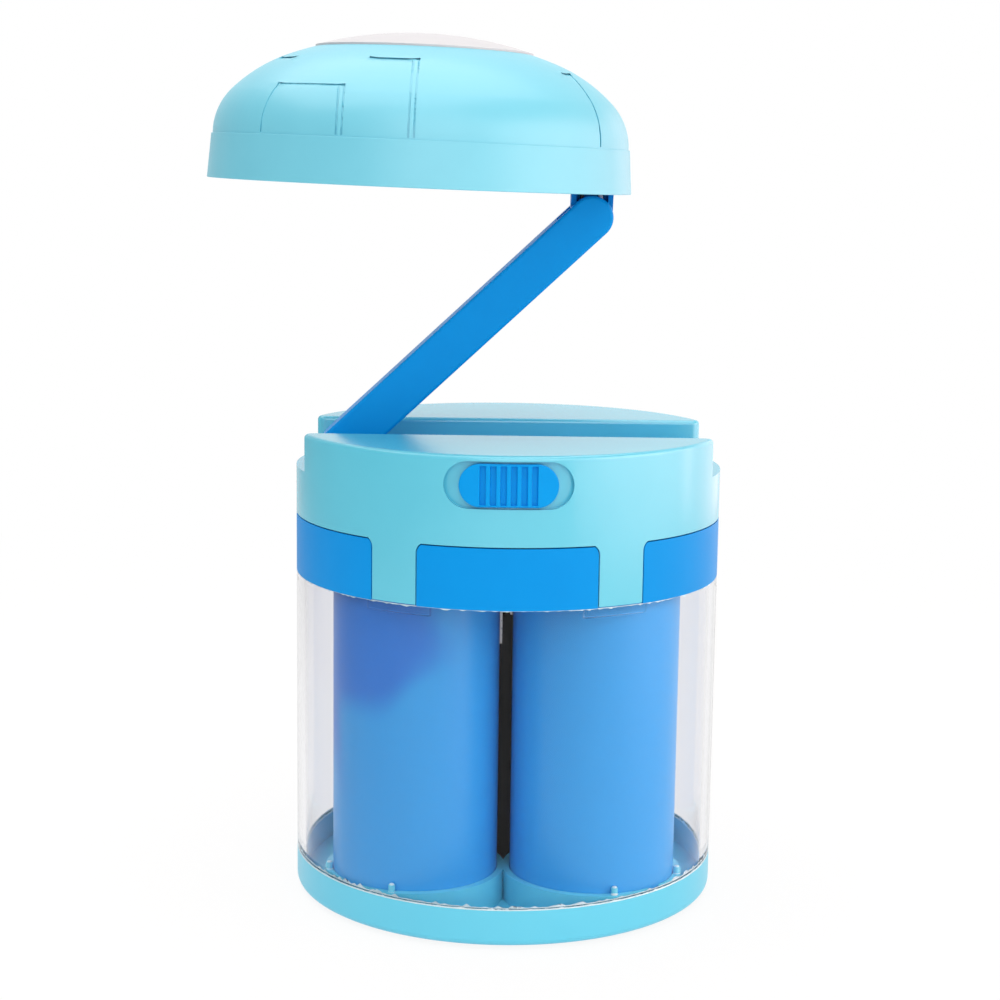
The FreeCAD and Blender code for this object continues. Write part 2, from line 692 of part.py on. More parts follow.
# Leg outline: an upright bar with a flared shoulder each side, run out to the front
def leg_blank(name, half, flare, low, high):
    body, sketch = body_with_sketch(name)
    left, right = span(half)
    left_flare, right_flare = span("%s + %s" % (half, flare))
    shoulder = "%s - (%s)" % (high, flare)
    line(sketch, (left, low), (right, low))
    line(sketch, (right, low), (right, shoulder))
    arc(sketch, (right_flare, shoulder), flare, "90", "180")
    line(sketch, (right_flare, high), (left_flare, high))
    arc(sketch, (left_flare, shoulder), flare, "0", "90")
    line(sketch, (left, shoulder), (left, low))
    for rule in ((0, 2, 1, 1), (1, 2, 2, 2), (2, 1, 3, 1), (3, 2, 4, 2), (4, 1, 5, 1), (5, 2, 0, 1)):
        meet(sketch, *rule)
    hold(sketch, (0, 1), left, low)
    hold(sketch, (0, 2), right, low)
    hold(sketch, (1, 2), right, shoulder)
    hold(sketch, (5, 1), left, shoulder)
    hold(sketch, (3, 1), right_flare, high)
    hold(sketch, (3, 2), left_flare, high)
    hold(sketch, (2, 3), right_flare)
    hold(sketch, (4, 3), left_flare)
    pad = body.newObject("PartDesign::Pad", name + "_pad")
    pad.Profile = sketch
    bind(pad, Length="body_radius + leg_depth")
    return body


# Blanks for every leg or slot, with a flat back at a distance from the axis
def leg_blanks(name, half, flare, low, high, back):
    blanks = []
    for index in range(int(value("leg_count"))):
        title = "%s_%d" % (name, index)
        behind = block(title + "_behind", ACROSS, ("-(%s)" % back, "body_radius"), TALL)
        tool = cut(title + "_tool", leg_blank(title, half, flare, low, high), behind)
        blanks.append(turned_by(tool, "360 / leg_count * %g" % (index + 0.5)))
    return blanks


# Coloured band and frame: ring, skirt, plate, channel floor, hinge towers and tube spigots in one
def make_frame():
    band = turned("band", [
        ("leg_plane + seam / 3", "band_bottom"),
        ("body_radius", "band_bottom"),
        ("body_radius", "band_top"),
        ("band_bore", "band_top"),
        ("band_bore", "frame_level"),
        ("leg_plane + seam / 3", "frame_level"),
    ])
    plate = upright("frame_disc", "band_bore + band_ring / 2", ("frame_level", "plate_top"))
    root = "plate_top - frame_plate / 2"
    under = "channel_floor - frame_floor"
    works = [block("floor_slab", ACROSS, span("channel_half - frame_fit"), (under, "channel_floor"))]
    rib = sides("channel_half - 2.5 * frame_rib", "channel_half - 1.5 * frame_rib")
    tower = sides("tower_inner", "tower_outer")
    for side in ("front", "rear"):
        works.append(block("floor_rib_" + side, span("band_bore"), rib[side],
                           (root, "channel_floor - frame_floor / 2")))
        works.append(block("tower_" + side, about("-pivot_offset", "tower_half"), tower[side],
                           (root, "pivot_level + pin_radius + tower_cover")))
    limit = upright("frame_limit", "frame_reach", ("frame_level", "shell_top"))
    inside = overlap("frame_inside", join("frame_works", *works), limit)
    spigots = []
    for place, (x, y) in TUBE_PLACES.items():
        outer, levels = "tube_bore - tube_fit", ("contact_level", root)
        spigots.append(ring("spigot_" + place, outer, outer + " - spigot_wall", levels, x, y))
        spigots.append(upright("contact_post_" + place, "contact_radius", levels, x, y))
    blank = join("frame_blank", band, plate, inside, *spigots)
    holes = [
        crosswise("frame_pin_bore", "pin_radius", ACROSS, "-pivot_offset", "pivot_level"),
        upright("frame_wire_hole", "core_radius - core_wall", ("band_bottom", "plate_top")),
    ]
    for side, y in SCREW_PLACES.items():
        holes.append(upright("frame_screw_hole_" + side, "screw_radius + stem_gap", TALL, "0", y))
    slots = leg_blanks("leg_slot", "leg_width / 2 + seam", "leg_round", "band_bottom - seam",
                       "band_top + seam", "leg_plane - seam")
    finish(cut("frame", blank, *holes, *slots), "inner_frame")


# What is taken off each upright corner beside the channel mouths, to leave it round
def mouth_corners():
    tools = []
    levels = ("shell_top - lip_drop", TALL[1])
    along = sides("channel_half", "corner_y * body_radius / (body_radius - shell_corner)")
    across = {"left": ("-body_radius", "-corner_x"), "right": ("corner_x", "body_radius")}
    middle_x = {"left": "-corner_x", "right": "corner_x"}
    middle_y = {"front": "-corner_y", "rear": "corner_y"}
    for end in ("left", "right"):
        for side in ("front", "rear"):
            name = "corner_%s_%s" % (side, end)
            waste = block(name + "_waste", across[end], along[side], levels)
            post = upright(name + "_post", "shell_corner", TALL, middle_x[end], middle_y[side])
            tools.append(cut(name, waste, post))
    return tools


# Light shell: wall, two half tops, channel walls, legs, screw bosses and switch recess
def make_shell():
    cup = cut(
        "shell_cup",
        upright("shell_blank", "body_radius", ("shell_bottom", "shell_top")),
        upright("shell_hollow", "shell_bore", ("shell_bottom", "shell_top - shell_wall")),
    )
    ceiling = "shell_top - shell_wall / 2"
    limit = upright("shell_limit", "body_radius - shell_wall / 2", ("shell_bottom", ceiling))
    bosses = []
    pilots = []
    inner = []
    wall = sides("channel_half", "channel_outer")
    for side, y in SCREW_PLACES.items():
        bosses.append(upright("boss_" + side, "boss_radius", ("plate_top", ceiling), "0", y))
        pilots.append(upright("pilot_" + side, "screw_radius", ("plate_top", "screw_tip"), "0", y))
        inner.append(block("channel_wall_" + side, ACROSS, wall[side],
                           ("channel_floor - frame_floor", "shell_top")))
    pad = sides("switch_length / 2 + stem_gap", "switch_flange / 2")
    for end, limits in (("left", pad["front"]), ("right", pad["rear"])):
        inner.append(block("switch_pad_" + end, limits, ("-body_radius", "-switch_face"),
                           about("switch_level", "switch_height / 2")))
    fittings = overlap("shell_fittings", join("shell_fitting_blanks", *inner), limit)
    blank = join("shell_walled", cup, fittings, *bosses)
    mouth = block("channel_mouth", ACROSS, span("channel_half"), ("shell_top - lip_drop", TALL[1]))
    opened = cut("shell_open", blank, mouth, *mouth_corners())
    top = value("shell_top")
    topped = rounded("shell_topped", opened, "shell_round", lambda edge: level_edge(edge)
                     and near(edge.BoundBox.ZMax, top))
    legs = leg_blanks("shell_leg", "leg_width / 2", "leg_round + seam", "band_bottom + seam",
                      "shell_bottom + seam", "leg_plane")
    skin = upright("leg_skin", "body_radius", TALL)
    legged = join("shell_legged", topped, overlap("shell_legs", join("leg_bars", *legs), skin))
    front = ("-2 * body_radius", "0")
    recess = cut(
        "switch_recess",
        pill("recess_pill", "switch_recess_length", "switch_recess_height", front, "switch_level"),
        upright("recess_core", "recess_floor", TALL),
    )
    window = stem_window("stem_window", "-shell_bore + shell_wall")
    pin = crosswise("shell_pin_hole", "pin_radius + stem_gap", span("tower_inner"),
                    "-pivot_offset", "pivot_level")
    finish(cut("shell", legged, recess, window, pin, *pilots), "top_shell")


# The way that the switch knob's stem travels, in from the front to a depth
def stem_window(name, depth):
    return block(name, span("stem_width / 2 + knob_travel + stem_gap"), ("-body_radius", depth),
                 about("switch_level", "stem_width / 2 + stem_gap"))


# Screws that pull the shell down on the frame
def make_shell_screws():
    screws = []
    head = ("frame_level - screw_head_height", "frame_level")
    for side, y in SCREW_PLACES.items():
        screws.append(join(
            "shell_screw_" + side,
            upright("shell_screw_head_" + side, "screw_head", head, "0", y),
            upright("shell_screw_shank_" + side, "screw_radius", ("frame_level", "screw_tip"), "0", y),
        ))
    finish(group("shell_screw_pair", *screws), "shell_screws")


# Slide switch behind the recess, and the knob that works it
def make_switch():
    tall = about("switch_level", "switch_height / 2")
    case = block("switch_case", span("switch_length / 2"),
                 ("-switch_face", "switch_depth - switch_face"), tall)
    ears = block("switch_ears", span("switch_flange / 2"),
                 ("-switch_face", "switch_ear - switch_face"), tall)
    slot = stem_window("switch_slot", "switch_depth / 2 - switch_face")
    finish(cut("switch_housing", join("switch_blank", case, ears), slot), "switch_body")

    front = ("-2 * body_radius", "0")
    bar = pill("knob_pill", "knob_length", "knob_height", front, "switch_level")
    skin = ring("knob_skin", "knob_face", "knob_back", TALL)
    grooves = []
    count = int(value("groove_count"))
    for index in range(count):
        middle = "groove_pitch * (%g)" % (index - (count - 1) / 2)
        grooves.append(block("groove_%d" % index, about(middle, "groove_width / 2"), front, TALL))
    core = upright("groove_core", "knob_face - groove_depth", TALL)
    tools = cut("groove_tools", join("groove_bars", *grooves), core)
    face = cut("knob_grooved", overlap("knob_bar", bar, skin), tools)
    stem = block("knob_stem", span("stem_width / 2"),
                 ("-knob_back - knob_gap", "stem_length - recess_floor"),
                 about("switch_level", "stem_width / 2"))
    finish(join("knob", face, stem), "switch_knob")


# Base hinge: pin in the towers, with a spacer and a friction washer each side of the arm
def make_base_hinge():
    place = ("-pivot_offset", "pivot_level")
    finish(crosswise("base_pin", "pin_radius", span("tower_outer"), *place), "base_hinge_pin")
    washer = sides("arm_face + side_play", "arm_face + side_play + washer_thickness")
    spacer = sides("arm_face + side_play + washer_thickness", "channel_half")
    spacers = []
    washers = []
    for side in ("front", "rear"):
        spacers.append(sleeve("base_spacer_" + side, "spacer_radius", "pin_bore", spacer[side], *place))
        washers.append(sleeve("base_washer_" + side, "washer_radius", "pin_bore", washer[side], *place))
    finish(group("base_spacers", *spacers), "hinge_spacers")
    finish(group("base_washers", *washers), "base_friction_washers")


# One half of the arm, from its joint face at the middle out to its front or back
def make_arm_half(name, front):
    body, outer = body_with_sketch(name)
    slot_outline(outer, "0", "arm_length", "arm_half")
    pad = body.newObject("PartDesign::Pad", name + "_pad")
    pad.Profile = outer
    pad.Reversed = not front
    bind(pad, Length="arm_face")
    doc.recompute()
    face = value("arm_face")
    body_round(body, pad, "arm_round", lambda edge: near(abs(edge.BoundBox.YMin), face)
               and near(abs(edge.BoundBox.YMax), face))
    hollow = sketch_on(body, name + "_hollow")
    inner = "arm_half - arm_wall"
    slot_outline(hollow, "arm_half + " + inner, "arm_length - slot_depth - arm_half", inner)
    notch = sketch_on(body, name + "_notch")
    start, end = "arm_length - slot_depth", "arm_length + arm_width"
    outline(notch, [(start, "-arm_width"), (end, "-arm_width"), (end, "arm_width"), (start, "arm_width")])
    for sketch, depth in ((hollow, "arm_face - arm_wall"), (notch, "cheek_inner")):
        pocket = body.newObject("PartDesign::Pocket", sketch.Name + "_cut")
        pocket.Profile = sketch
        pocket.Reversed = front
        bind(pocket, Length=depth)
    doc.recompute()
    return body


# Arm: two halves screwed together, hollow between the hinges, with a slot at the head end
def make_arm():
    blind = span("arm_face - arm_wall")
    sink = ("arm_face - arm_screw_sink", "arm_face")
    head = (sink[0], sink[0] + " + arm_screw_head_height")
    boss = sides("0", "arm_face - arm_wall / 2")
    bosses = {"front": [], "rear": []}
    pilots = []
    sinks = []
    screws = []
    for place in ("arm_screw_low", "arm_screw_high"):
        for side in ("front", "rear"):
            bosses[side].append(crosswise("%s_boss_%s" % (place, side), "arm_boss", boss[side], place))
        pilots.append(crosswise(place + "_pilot", "arm_screw_radius", (blind[0], sink[0]), place))
        sinks.append(crosswise(place + "_sink", "arm_screw_head + stem_gap", sink, place))
        screws.append(join(
            place + "_screw",
            crosswise(place + "_shank", "arm_screw_radius", (blind[0], sink[0]), place),
            crosswise(place + "_head", "arm_screw_head", head, place),
        ))
    lower = crosswise("arm_lower_bore", "pin_bore", ACROSS)
    upper = crosswise("arm_upper_bore", "pin_radius", blind, "arm_length")
    front = join("arm_front_bossed", make_arm_half("arm_front", True), *bosses["front"])
    rear = join("arm_rear_bossed", make_arm_half("arm_rear", False), *bosses["rear"])
    finish(cut("arm_front_cut", front, lower, upper, *pilots), "arm_front_half", "arm")
    finish(cut("arm_rear_cut", rear, lower, upper, *pilots, *sinks), "arm_rear_half", "arm")
    finish(group("arm_screw_pair", *screws), "arm_screws", "arm")
    pin = crosswise("head_pin", "pin_radius", blind, "arm_length")
    finish(group("head_pin_set", pin), "head_hinge_pin", "arm")
    washer = sides("knuckle_half + side_play", "knuckle_half + side_play + washer_thickness")
    washers = [sleeve("head_washer_" + side, "washer_radius", "pin_radius", limits, "arm_length")
               for side, limits in washer.items()]
    finish(group("head_washers", *washers), "head_friction_washers", "arm")


# The dome's crown, or the same form set in by a wall: shoulder, flank and crest arcs turned about Z
def crown(name, inward):
    body, sketch = body_with_sketch(name)
    shoulder, flank, crest = ("(%s - (%s))" % (radius, inward)
                              for radius in ("dome_shoulder", "flank_radius", "crest_radius"))
    points = [
        ("shoulder_x + " + shoulder, "0"),
        ("shoulder_x + %s * shoulder_cos" % shoulder, "%s * shoulder_sin" % shoulder),
        ("%s * crest_cos" % crest, "crest_z + %s * crest_sin" % crest),
        ("0", "crest_z + " + crest),
    ]
    arc(sketch, ("shoulder_x", "0"), shoulder, "0", "shoulder_angle")
    arc(sketch, ("flank_x", "flank_z"), flank, "shoulder_angle", "crest_angle")
    arc(sketch, ("0", "crest_z"), crest, "crest_angle", "90")
    line(sketch, points[3], ("0", "0"))
    line(sketch, ("0", "0"), points[0])
    for index in range(5):
        meet(sketch, index, 2, (index + 1) % 5, 1)
    meet(sketch, 4, 1, -1, 1)
    for index, point in enumerate(points):
        hold(sketch, (index, 1), *point)
    for index, across in enumerate(("shoulder_x", "flank_x", "0")):
        hold(sketch, (index, 3), across)
    turn(body, sketch)
    return put(body, z="dome_band")


# Panel lines: turn about the dome, limits across, and the level of the top above the rim
PANEL_LINES = {
    "high_right": ("0", ("high_edge - line_width", "high_edge"), "panel_high", "side"),
    "high_inner": ("0", ("high_inner - line_width", "high_inner"), "panel_high", "side"),
    "high_top": ("0", ("high_edge - high_width", "high_edge"), "panel_high", "top"),
    "low_right": ("0", ("low_edge - line_width", "low_edge"), "panel_low", "side"),
    "low_inner": ("0", ("low_inner - line_width", "low_inner"), "panel_low", "side"),
    "low_top": ("0", ("low_edge - low_width", "low_edge"), "panel_low", "top"),
    "low_left": ("low_turn", span("line_width / 2"), "panel_low", "side"),
    "side_right": ("side_turn", ("side_edge - line_width", "side_edge"), "panel_side", "side"),
    "side_top": ("side_turn", ("side_edge - side_width", "side_edge"), "panel_side", "top"),
    "left_top": ("left_turn", span("left_width / 2"), "panel_high", "top"),
}


# Cuts for the panel lines, to one depth below the dome's surface
def panel_lines():
    lines = []
    for name, (degrees, across, level, kind) in PANEL_LINES.items():
        foot = "dome_band + line_depth" if kind == "side" else level + " - line_width"
        slab = block("line_slab_" + name, across, ("-dome_radius", "0"), (foot, level))
        lines.append(turned_by(group("line_" + name, slab), degrees))
    return cut("panel_lines", join("line_slabs", *lines), crown("line_floor", "line_depth"))


# Where the lamp plate's screws stand
def plate_screw_places():
    count = int(value("plate_screw_count"))
    turns = ["(plate_screw_turn + 360 / plate_screw_count * %d) * 1 deg" % index for index in range(count)]
    return [("plate_screw_ring * cos(%s)" % angle, "plate_screw_ring * sin(%s)" % angle) for angle in turns]


# Dome shell: tapered rim band, ledge, crown, panel lines, cap seat and screw bosses; the top cap
def make_dome():
    band = doc.addObject("Part::Cone", "dome_rim_band")
    bind(band, Radius1="dome_radius", Radius2="ledge_radius", Height="dome_band")
    soft = rounded("dome_rim_soft", band, "dome_ledge / 2", level_edge)
    above = ("dome_band", TALL[1])
    bore = upright("dome_bore_rod", "dome_bore", ("0", "dome_band"))
    hollow = join("dome_hollow", crown("crown_inner", "dome_wall"), bore)
    cup = cut("dome_cup", join("dome_blank", soft, crown("crown_outer", "0")), hollow)
    posts = []
    pilots = []
    drilled = ("0", "plate_level + head_screw_length")
    for index, (x, y) in enumerate(plate_screw_places()):
        posts.append(upright("dome_post_%d" % index, "dome_boss", ("plate_back", TALL[1]), x, y))
        pilots.append(upright("dome_pilot_%d" % index, "head_screw_radius", drilled, x, y))
    room = upright("dome_band_room", "dome_bore", ("0", "dome_band"))
    limit = join("dome_limit", crown("crown_middle", "dome_wall / 2"), room)
    bossed = join("dome_bossed", cup, overlap("dome_bosses", join("dome_posts", *posts), limit))
    rim = upright("dome_rim_bore", "rim_bore", ("0", "plate_back"))
    seat = cut("cap_seat_cut", upright("cap_seat_rod", "cap_radius + cap_fit", above),
               crown("cap_seat_crown", "cap_thickness - cap_proud"))
    hole = upright("cap_hole", "cap_radius - cap_seat", above)
    finish(cut("dome", bossed, rim, seat, hole, panel_lines(), *pilots), "dome_shell", "head")
    disc = overlap("cap_disc", crown("cap_outer", "-cap_proud"), upright("cap_rod", "cap_radius", above))
    finish(cut("cap", disc, crown("cap_inner", "cap_thickness - cap_proud")), "top_cap", "head")


# Lamp plate with its reflector dish, lens, light board and chips
def make_lamp():
    plate = turned("lamp_dish", [
        ("dish_radius", "plate_level"),
        ("plate_radius", "plate_level"),
        ("plate_radius", "plate_back"),
        ("dish_back", "plate_back"),
        ("dish_neck + dish_wall", "board_level"),
        ("dish_neck", "board_level"),
    ])
    holes = []
    screws = []
    for index, (x, y) in enumerate(plate_screw_places()):
        holes.append(upright("plate_hole_%d" % index, "head_screw_radius", TALL, x, y))
        screws.append(head_screw("plate_screw_%d" % index, x, y, "plate_level"))
    for side, y in FLANGE_SCREWS.items():
        holes.append(upright("plate_flange_hole_" + side, "head_screw_radius", TALL, "flange_screw", y))
    finish(cut("lamp_plate_drilled", plate, *holes), "lamp_plate", "head")
    finish(group("plate_screw_set", *screws), "plate_screws", "head")
    lens = upright("lens", "lens_radius", ("plate_level - lens_thickness", "plate_level"))
    finish(group("lens_set", lens), "lamp_lens", "head")
    board = upright("board", "dish_neck + board_overlap", ("board_level", "board_level + board_thickness"))
    finish(group("board_set", board), "light_board", "head")
    chips = []
    for index in range(int(value("chip_count"))):
        angle = "360 / chip_count * %d * 1 deg" % index
        x, y = "chip_ring * cos(%s)" % angle, "chip_ring * sin(%s)" % angle
        chips.append(block("chip_%d" % index, about(x, "chip_size / 2"), about(y, "chip_size / 2"),
                           ("board_level - chip_height", "board_level")))
    finish(group("chips", *chips), "light_chips", "head")


FLANGE_SCREWS = {"front": "-flange_half / 2", "rear": "flange_half / 2"}


# A pan screw driven up from a level
def head_screw(name, x, y, level):
    return join(
        name,
        upright(name + "_head", "head_screw_head", (level + " - head_screw_head_height", level), x, y),
        upright(name + "_shank", "head_screw_radius", (level, level + " + head_screw_length"), x, y),
    )


# Head bracket: flange under the lamp plate, and a walled knuckle that turns on the head pin; leads
def make_bracket():
    place = ("pivot_offset", "-pivot_drop")
    low, high = about("pivot_offset", "bracket_half")
    flange = overlap(
        "bracket_flange",
        block("flange_slab", (low + " - flange_length", "dome_radius"), span("flange_half"),
              ("flange_gap", "plate_level")),
        upright("flange_limit", "plate_radius", TALL),
    )
    neck = block("bracket_neck", (low, high), span("knuckle_half"), ("-pivot_drop", "plate_level / 2"))
    knuckle = crosswise("bracket_knuckle", "bracket_half", span("knuckle_half"), *place)
    tools = [crosswise("bracket_bore", "pin_bore", ACROSS, *place)]
    for side, limits in sides("bracket_web / 2", "body_radius").items():
        room = block("bracket_room_" + side, (low + " + bracket_wall", high + " - bracket_wall"), limits,
                     ("-pivot_drop", "flange_gap"))
        hub = crosswise("bracket_hub_" + side, "washer_radius", ACROSS, *place)
        tools.append(cut("bracket_pocket_" + side, room, hub))
    screws = []
    for side, y in FLANGE_SCREWS.items():
        head = ("flange_gap", "flange_gap + head_screw_head_height")
        tools.append(upright("flange_hole_" + side, "head_screw_radius", TALL, "flange_screw", y))
        tools.append(upright("flange_sink_" + side, "head_screw_head + plate_fit", head, "flange_screw", y))
        screws.append(head_screw("flange_screw_" + side, "flange_screw", y, head[1]))
    finish(cut("bracket", join("bracket_blank", flange, neck, knuckle), *tools), "head_bracket", "head")
    finish(group("flange_screws", *screws), "bracket_screws", "head")
    for label, sign in (("white_lead", "+"), ("black_lead", "-")):
        lead = doc.addObject("Part::Cylinder", label + "_wire")
        lead.Placement = Placement(Vector(), Rotation(Vector(0, -1, 0), 1))
        lead.setExpression("Placement.Rotation.Angle", expression("lead_slant"))
        bind(lead, Radius="lead_radius", Height="lead_length")
        put(lead, "pivot_offset %s lead_offset" % sign, "-(bracket_web / 2 + knuckle_half) / 2",
            "flange_gap - lead_reach")
        finish(group(label + "_set", lead), label, "head")


def main():
    make_tray()
    make_drum()
    make_batteries()
    make_core()
    make_frame()
    make_shell()
    make_shell_screws()
    make_switch()
    make_base_hinge()
    make_arm()
    make_dome()
    make_lamp()
    make_bracket()
    doc.recompute()
    for item in doc.Objects:
        if "Invalid" in item.State or "Error" in item.State:
            raise RuntimeError("%s did not build" % item.Name)
    for item in pieces:
        if item.Shape.isNull() or not item.Shape.isValid() or not item.Shape.Solids:
            raise RuntimeError("%s is not a sound solid" % item.Label)
    os.makedirs("parts", exist_ok=True)
    for item in pieces:
        item.Shape.exportStep("parts/%s.step" % item.Label)
        print("%-26s %d solids %10.1f mm3" % (item.Label, len(item.Shape.Solids), item.Shape.Volume))


main()
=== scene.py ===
# Looks for the folding battery lamp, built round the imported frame
import json
import math
import random
import bmesh
import bpy
from mathutils import Matrix, Vector


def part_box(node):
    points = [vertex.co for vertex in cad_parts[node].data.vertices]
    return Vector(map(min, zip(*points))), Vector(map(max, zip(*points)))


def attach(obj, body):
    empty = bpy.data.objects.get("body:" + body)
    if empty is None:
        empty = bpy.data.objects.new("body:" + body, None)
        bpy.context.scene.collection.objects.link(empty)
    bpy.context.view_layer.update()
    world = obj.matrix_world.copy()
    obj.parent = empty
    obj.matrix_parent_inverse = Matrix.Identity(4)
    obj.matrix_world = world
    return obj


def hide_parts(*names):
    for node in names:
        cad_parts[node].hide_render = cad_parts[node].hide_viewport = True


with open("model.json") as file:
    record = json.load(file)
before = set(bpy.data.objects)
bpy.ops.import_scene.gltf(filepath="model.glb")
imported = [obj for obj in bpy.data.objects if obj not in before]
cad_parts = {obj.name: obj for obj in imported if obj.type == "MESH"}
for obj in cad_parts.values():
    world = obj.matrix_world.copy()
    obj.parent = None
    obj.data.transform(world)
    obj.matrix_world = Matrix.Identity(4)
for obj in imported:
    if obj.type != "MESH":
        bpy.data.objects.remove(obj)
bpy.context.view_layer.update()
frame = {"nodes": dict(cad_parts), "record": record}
mm = 0.001
record = frame["record"]
slotOf = {row["node"]: row["material_slot"] for row in record["subparts"]}
bodyOf = {node: body for body, members in record["behaviour"]["bodies"].items() for node in members}
print("frame loaded:", len(frame["nodes"]), "nodes")


# sRGB hex to linear
def colour(hexCode, alpha=1.0):
    parts = [int(hexCode[i:i + 2], 16) / 255 for i in (0, 2, 4)]
    return tuple(c / 12.92 if c <= 0.04045 else ((c + 0.055) / 1.055) ** 2.4 for c in parts) + (alpha,)


def addNode(tree, kind, inputs=None, **settings):
    node = tree.nodes.new(kind)
    for key, setting in settings.items():
        setattr(node, key, setting)
    for key, given in (inputs or {}).items():
        if isinstance(given, bpy.types.NodeSocket):
            tree.links.new(given, node.inputs[key])
        else:
            node.inputs[key].default_value = given
    return node


def startMaterial(name):
    material = bpy.data.materials.new(name)
    material.use_nodes = True
    tree = material.node_tree
    tree.nodes.clear()
    coords = addNode(tree, "ShaderNodeTexCoord").outputs["Object"]
    return material, tree, coords


# Injection-moulded plastic: even colour with faint flow clouding, and a fine spark-eroded skin whose
# grain is drawn coarser than it is, so that it shows
mouldSettings = {"ior": 1.53, "roughSpread": 0.05, "bump": 0.1}


def mouldedPlastic(name, base, deep, rough=0.34, cloudMm=14, grainMm=0.6, grainLift=0.006, specular=0.5):
    material, tree, coords = startMaterial(name)
    cloud = addNode(tree, "ShaderNodeTexNoise", {
        "Vector": coords, "Scale": 1 / (cloudMm * mm), "Detail": 3.0})
    mix = addNode(tree, "ShaderNodeMix", {
        "Factor": cloud.outputs["Fac"], "A": colour(deep), "B": colour(base)}, data_type="RGBA")
    grain = addNode(tree, "ShaderNodeTexNoise", {
        "Vector": coords, "Scale": 1 / (grainMm * mm), "Detail": 2.0})
    roughMap = addNode(tree, "ShaderNodeMapRange", {
        "Value": grain.outputs["Fac"], "To Min": rough - mouldSettings["roughSpread"],
        "To Max": rough + mouldSettings["roughSpread"]})
    bump = addNode(tree, "ShaderNodeBump", {
        "Height": grain.outputs["Fac"], "Strength": mouldSettings["bump"], "Distance": grainLift * mm})
    shader = addNode(tree, "ShaderNodeBsdfPrincipled", {
        "Base Color": mix.outputs["Result"], "Roughness": roughMap.outputs["Result"],
        "Normal": bump.outputs["Normal"], "IOR": mouldSettings["ior"], "Specular IOR Level": specular})
    addNode(tree, "ShaderNodeOutputMaterial", {"Surface": shader.outputs["BSDF"]})
    return material


# Shrunk PVC film: mid blue where it stands off the tube, deep violet blue where it clings; the same deep
# blue is also painted high up as the band's shadow, and on the left side as painted shade
filmSettings = {
    "base": "2c9be2", "clungAndShaded": "1c50c4", "rough": 0.34, "ior": 1.53, "specular": 0.5,
    "patchMm": 34, "patchWeight": 0.5, "patchOffset": 0.25,
    "lowMm": 24, "lowShadeLevel": -0.16, "highMm": 60, "highShadeLevel": 0.08,
    "leftMm": -40, "leftShadeLevel": 0.16, "rightMm": -14, "rightShadeLevel": -0.14,
    "clingAndShadeFrom": 0.52, "clingAndShadeTo": 0.62, "clingAndShadeShare": 0.6, "ripple": 0.12, "rippleMm": 0.5,
}


def shrunkFilm(name, film):
    material, tree, coords = startMaterial(name)
    patch = addNode(tree, "ShaderNodeTexNoise", {
        "Vector": coords, "Scale": 1 / (film["patchMm"] * mm), "Detail": 1.0, "Distortion": 0.3})
    split = addNode(tree, "ShaderNodeSeparateXYZ", {"Vector": coords})
    # painted shade: the height term darkens the film high up under the band, and the side term darkens its
    # left side, where less light falls
    height = addNode(tree, "ShaderNodeMapRange", {
        "Value": split.outputs["Z"], "From Min": film["lowMm"] * mm, "From Max": film["highMm"] * mm,
        "To Min": film["lowShadeLevel"], "To Max": film["highShadeLevel"]})
    side = addNode(tree, "ShaderNodeMapRange", {
        "Value": split.outputs["X"], "From Min": film["leftMm"] * mm, "From Max": film["rightMm"] * mm,
        "To Min": film["leftShadeLevel"], "To Max": film["rightShadeLevel"]})
    level = addNode(tree, "ShaderNodeMath", {
        0: patch.outputs["Fac"], 1: film["patchWeight"], 2: film["patchOffset"]}, operation="MULTIPLY_ADD")
    for part in (height, side):
        level = addNode(tree, "ShaderNodeMath", {
            0: level.outputs[0], 1: part.outputs["Result"]}, operation="ADD")
    clingAndShade = addNode(tree, "ShaderNodeMapRange", {
        "Value": level.outputs[0], "From Min": film["clingAndShadeFrom"], "From Max": film["clingAndShadeTo"],
        "To Max": film["clingAndShadeShare"]}, interpolation_type="SMOOTHSTEP")
    mix = addNode(tree, "ShaderNodeMix", {
        "Factor": clingAndShade.outputs["Result"], "A": colour(film["base"]), "B": colour(film["clungAndShaded"])},
        data_type="RGBA")
    ripple = addNode(tree, "ShaderNodeBump", {
        "Height": level.outputs[0], "Strength": film["ripple"], "Distance": film["rippleMm"] * mm})
    shader = addNode(tree, "ShaderNodeBsdfPrincipled", {
        "Base Color": mix.outputs["Result"], "Roughness": film["rough"], "Normal": ripple.outputs["Normal"],
        "IOR": film["ior"], "Specular IOR Level": film["specular"]})
    addNode(tree, "ShaderNodeOutputMaterial", {"Surface": shader.outputs["BSDF"]})
    return material


# Clear moulded polystyrene: the palest grey, with the slightest haze, and it lets the lamps through
def clearPlastic(name, tint, rough=0.03, hazeMm=9, ior=1.2, specular=0.25):
    material, tree, coords = startMaterial(name)
    haze = addNode(tree, "ShaderNodeTexNoise", {
        "Vector": coords, "Scale": 1 / (hazeMm * mm), "Detail": 2.0})
    roughMap = addNode(tree, "ShaderNodeMapRange", {
        "Value": haze.outputs["Fac"], "To Min": rough * 0.5, "To Max": rough * 1.5})
    shader = addNode(tree, "ShaderNodeBsdfPrincipled", {
        "Base Color": colour(tint), "Roughness": roughMap.outputs["Result"], "Transmission Weight": 1.0,
        "IOR": ior, "Specular IOR Level": specular})
    clear = addNode(tree, "ShaderNodeBsdfTransparent", {"Color": colour(tint)})
    rays = addNode(tree, "ShaderNodeLightPath")
    lit = addNode(tree, "ShaderNodeMixShader", {
        0: rays.outputs["Is Shadow Ray"], 1: shader.outputs["BSDF"], 2: clear.outputs["BSDF"]})
    addNode(tree, "ShaderNodeOutputMaterial", {"Surface": lit.outputs["Shader"]})
    return material


